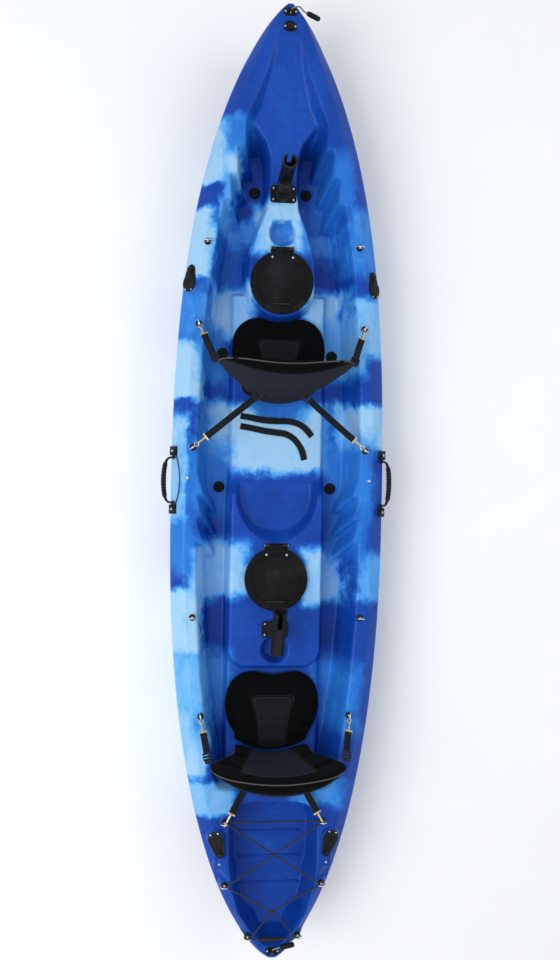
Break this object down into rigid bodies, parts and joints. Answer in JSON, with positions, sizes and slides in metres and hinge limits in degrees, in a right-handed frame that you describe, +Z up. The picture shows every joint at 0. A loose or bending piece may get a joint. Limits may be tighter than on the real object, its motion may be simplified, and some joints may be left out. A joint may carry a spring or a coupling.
{
  "type": "tandem kayak",
  "caption": "Sit-on-top tandem kayak with padded seats, a moulded child seat, round deck hatches, swivelling and flush rod holders, drain plugs, carry handles and a laced tank well.",
  "frame": {"origin": "middle of the length and beam, on the plane the keel rests on", "axes": "+Y towards the bow, +X to starboard, +Z up"},
  "size_m": [0.9358, 3.7, 0.585],
  "materials": {
    "hull_plastic": "rotomoulded polyethylene, blue with pale marbling",
    "black_plastic": "moulded, fine grain",
    "seat_fabric": "padded woven cloth",
    "webbing": "woven webbing",
    "cord": "braided cover",
    "steel": "bright stainless",
    "brass": "cast brass",
    "rubber": "soft black"
  },
  "bodies": {
    "hull": {"hull_shell": "hull_plastic", "front_hatch_frame": "black_plastic", "rear_hatch_frame": "black_plastic", "hatch_seals": "rubber", "hatch_hinge_pins": "steel", "front_rod_base": "black_plastic", "rear_rod_base": "black_plastic", "rod_lock_collars": "black_plastic", "flush_front_left": "black_plastic", "flush_front_right": "black_plastic", "flush_rear_left": "black_plastic", "flush_rear_right": "black_plastic", "handle_caps": "black_plastic", "paddle_bungee": "cord", "front_seat_cushion": "seat_fabric", "rear_seat_cushion": "seat_fabric", "front_seat_straps": "webbing", "rear_seat_straps": "webbing", "seat_snap_hooks": "brass", "strap_tails": "webbing", "anchor_buttons": "black_plastic", "anchor_rings": "steel", "tank_bungee": "cord", "bungee_joiner": "black_plastic", "bow_eye": "black_plastic", "stern_eye": "black_plastic", "drain_plug": "black_plastic", "bow_toggle_cord": "cord", "bow_toggle": "black_plastic", "stern_toggle_cord": "cord", "stern_toggle": "black_plastic", "deck_screws": "steel"},
    "front_lid": {"front_hatch_lid": "black_plastic", "front_hatch_pull": "black_plastic", "front_hatch_screws": "steel"},
    "rear_lid": {"rear_hatch_lid": "black_plastic", "rear_hatch_pull": "black_plastic", "rear_hatch_screws": "steel"},
    "front_turret": {"front_rod_post": "black_plastic", "front_tilt_bolt": "black_plastic"},
    "rear_turret": {"rear_rod_post": "black_plastic", "rear_tilt_bolt": "black_plastic"},
    "front_tube": {"front_rod_tube": "black_plastic"},
    "rear_tube": {"rear_rod_tube": "black_plastic"},
    "front_back": {"front_seat_back": "seat_fabric", "front_seat_buckles": "black_plastic"},
    "rear_back": {"rear_seat_back": "seat_fabric", "rear_seat_buckles": "black_plastic"},
    "left_handle": {"left_handle_grip": "rubber"},
    "right_handle": {"right_handle_grip": "rubber"},
    "holder_cap_front_left": {"cap_front_left": "black_plastic"},
    "holder_cap_front_right": {"cap_front_right": "black_plastic"},
    "holder_cap_rear_left": {"cap_rear_left": "black_plastic"},
    "holder_cap_rear_right": {"cap_rear_right": "black_plastic"},
    "plug_front_left_body": {"plug_front_left": "rubber"},
    "plug_front_right_body": {"plug_front_right": "rubber"},
    "plug_seat_left_body": {"plug_seat_left": "rubber"},
    "plug_seat_right_body": {"plug_seat_right": "rubber"},
    "plug_middle_left_body": {"plug_middle_left": "rubber"},
    "plug_middle_right_body": {"plug_middle_right": "rubber"}
  },
  "joints": [
    {"name": "front_hatch_hinge", "type": "hinge", "parent": "hull", "child": "front_lid", "pos_m": [0, 0.936, 0.262], "axis": [-1, 0, 0], "range_deg": [0, 100]},
    {"name": "rear_hatch_hinge", "type": "hinge", "parent": "hull", "child": "rear_lid", "pos_m": [0, -0.256, 0.248], "axis": [-1, 0, 0], "range_deg": [0, 100]},
    {"name": "front_rod_swivel", "type": "hinge", "parent": "hull", "child": "front_turret", "pos_m": [0, 1.157, 0.25], "axis": [0, 0, 1], "range_deg": [-90, 90]},
    {"name": "front_rod_tilt", "type": "hinge", "parent": "front_turret", "child": "front_tube", "pos_m": [0, 1.157, 0.354], "axis": [-1, 0, 0], "range_deg": [-60, 0]},
    {"name": "rear_rod_swivel", "type": "hinge", "parent": "hull", "child": "rear_turret", "pos_m": [0, -0.595, 0.236], "axis": [0, 0, 1], "range_deg": [-90, 90]},
    {"name": "rear_rod_tilt", "type": "hinge", "parent": "rear_turret", "child": "rear_tube", "pos_m": [0, -0.595, 0.34], "axis": [1, 0, 0], "range_deg": [-10, 60]},
    {"name": "front_seat_fold", "type": "hinge", "parent": "hull", "child": "front_back", "pos_m": [0, 0.355, 0.22], "axis": [-1, 0, 0], "range_deg": [-8, 45], "deforming": ["front_seat_straps"]},
    {"name": "rear_seat_fold", "type": "hinge", "parent": "hull", "child": "rear_back", "pos_m": [0, -1.092, 0.22], "axis": [-1, 0, 0], "range_deg": [-8, 28], "deforming": ["rear_seat_straps"]},
    {"name": "left_handle_lift", "type": "hinge", "parent": "hull", "child": "left_handle", "pos_m": [-0.41974, 0, 0.27675], "axis": [0, 1, 0], "range_deg": [0, 100]},
    {"name": "right_handle_lift", "type": "hinge", "parent": "hull", "child": "right_handle", "pos_m": [0.41974, 0, 0.27675], "axis": [0, -1, 0], "range_deg": [0, 100]},
    {"name": "cap_front_right_hinge", "type": "hinge", "parent": "hull", "child": "holder_cap_front_right", "pos_m": [0.36773, 0.83264, 0.30095], "axis": [-0.7485, -0.0856, 0.6575], "range_deg": [0, 110]},
    {"name": "cap_front_left_hinge", "type": "hinge", "parent": "hull", "child": "holder_cap_front_left", "pos_m": [-0.36773, 0.83264, 0.30095], "axis": [-0.7485, 0.0856, -0.6575], "range_deg": [0, 110]},
    {"name": "cap_rear_right_hinge", "type": "hinge", "parent": "hull", "child": "holder_cap_rear_right", "pos_m": [0.21067, -1.4537, 0.35882], "axis": [0.9193, -0.2809, -0.2756], "range_deg": [0, 110]},
    {"name": "cap_rear_left_hinge", "type": "hinge", "parent": "hull", "child": "holder_cap_rear_left", "pos_m": [-0.21067, -1.4537, 0.35882], "axis": [0.9193, 0.2809, 0.2756], "range_deg": [0, 110]},
    {"name": "plug_front_left_pull", "type": "slide", "parent": "hull", "child": "plug_front_left_body", "axis": [0, 0, 1], "range_m": [0, 0.06]},
    {"name": "plug_front_right_pull", "type": "slide", "parent": "hull", "child": "plug_front_right_body", "axis": [0, 0, 1], "range_m": [0, 0.06]},
    {"name": "plug_seat_left_pull", "type": "slide", "parent": "hull", "child": "plug_seat_left_body", "axis": [0, 0, 1], "range_m": [0, 0.06]},
    {"name": "plug_seat_right_pull", "type": "slide", "parent": "hull", "child": "plug_seat_right_body", "axis": [0, 0, 1], "range_m": [0, 0.06]},
    {"name": "plug_middle_left_pull", "type": "slide", "parent": "hull", "child": "plug_middle_left_body", "axis": [0, 0, 1], "range_m": [0, 0.06]},
    {"name": "plug_middle_right_pull", "type": "slide", "parent": "hull", "child": "plug_middle_right_body", "axis": [0, 0, 1], "range_m": [0, 0.06]}
  ]
}
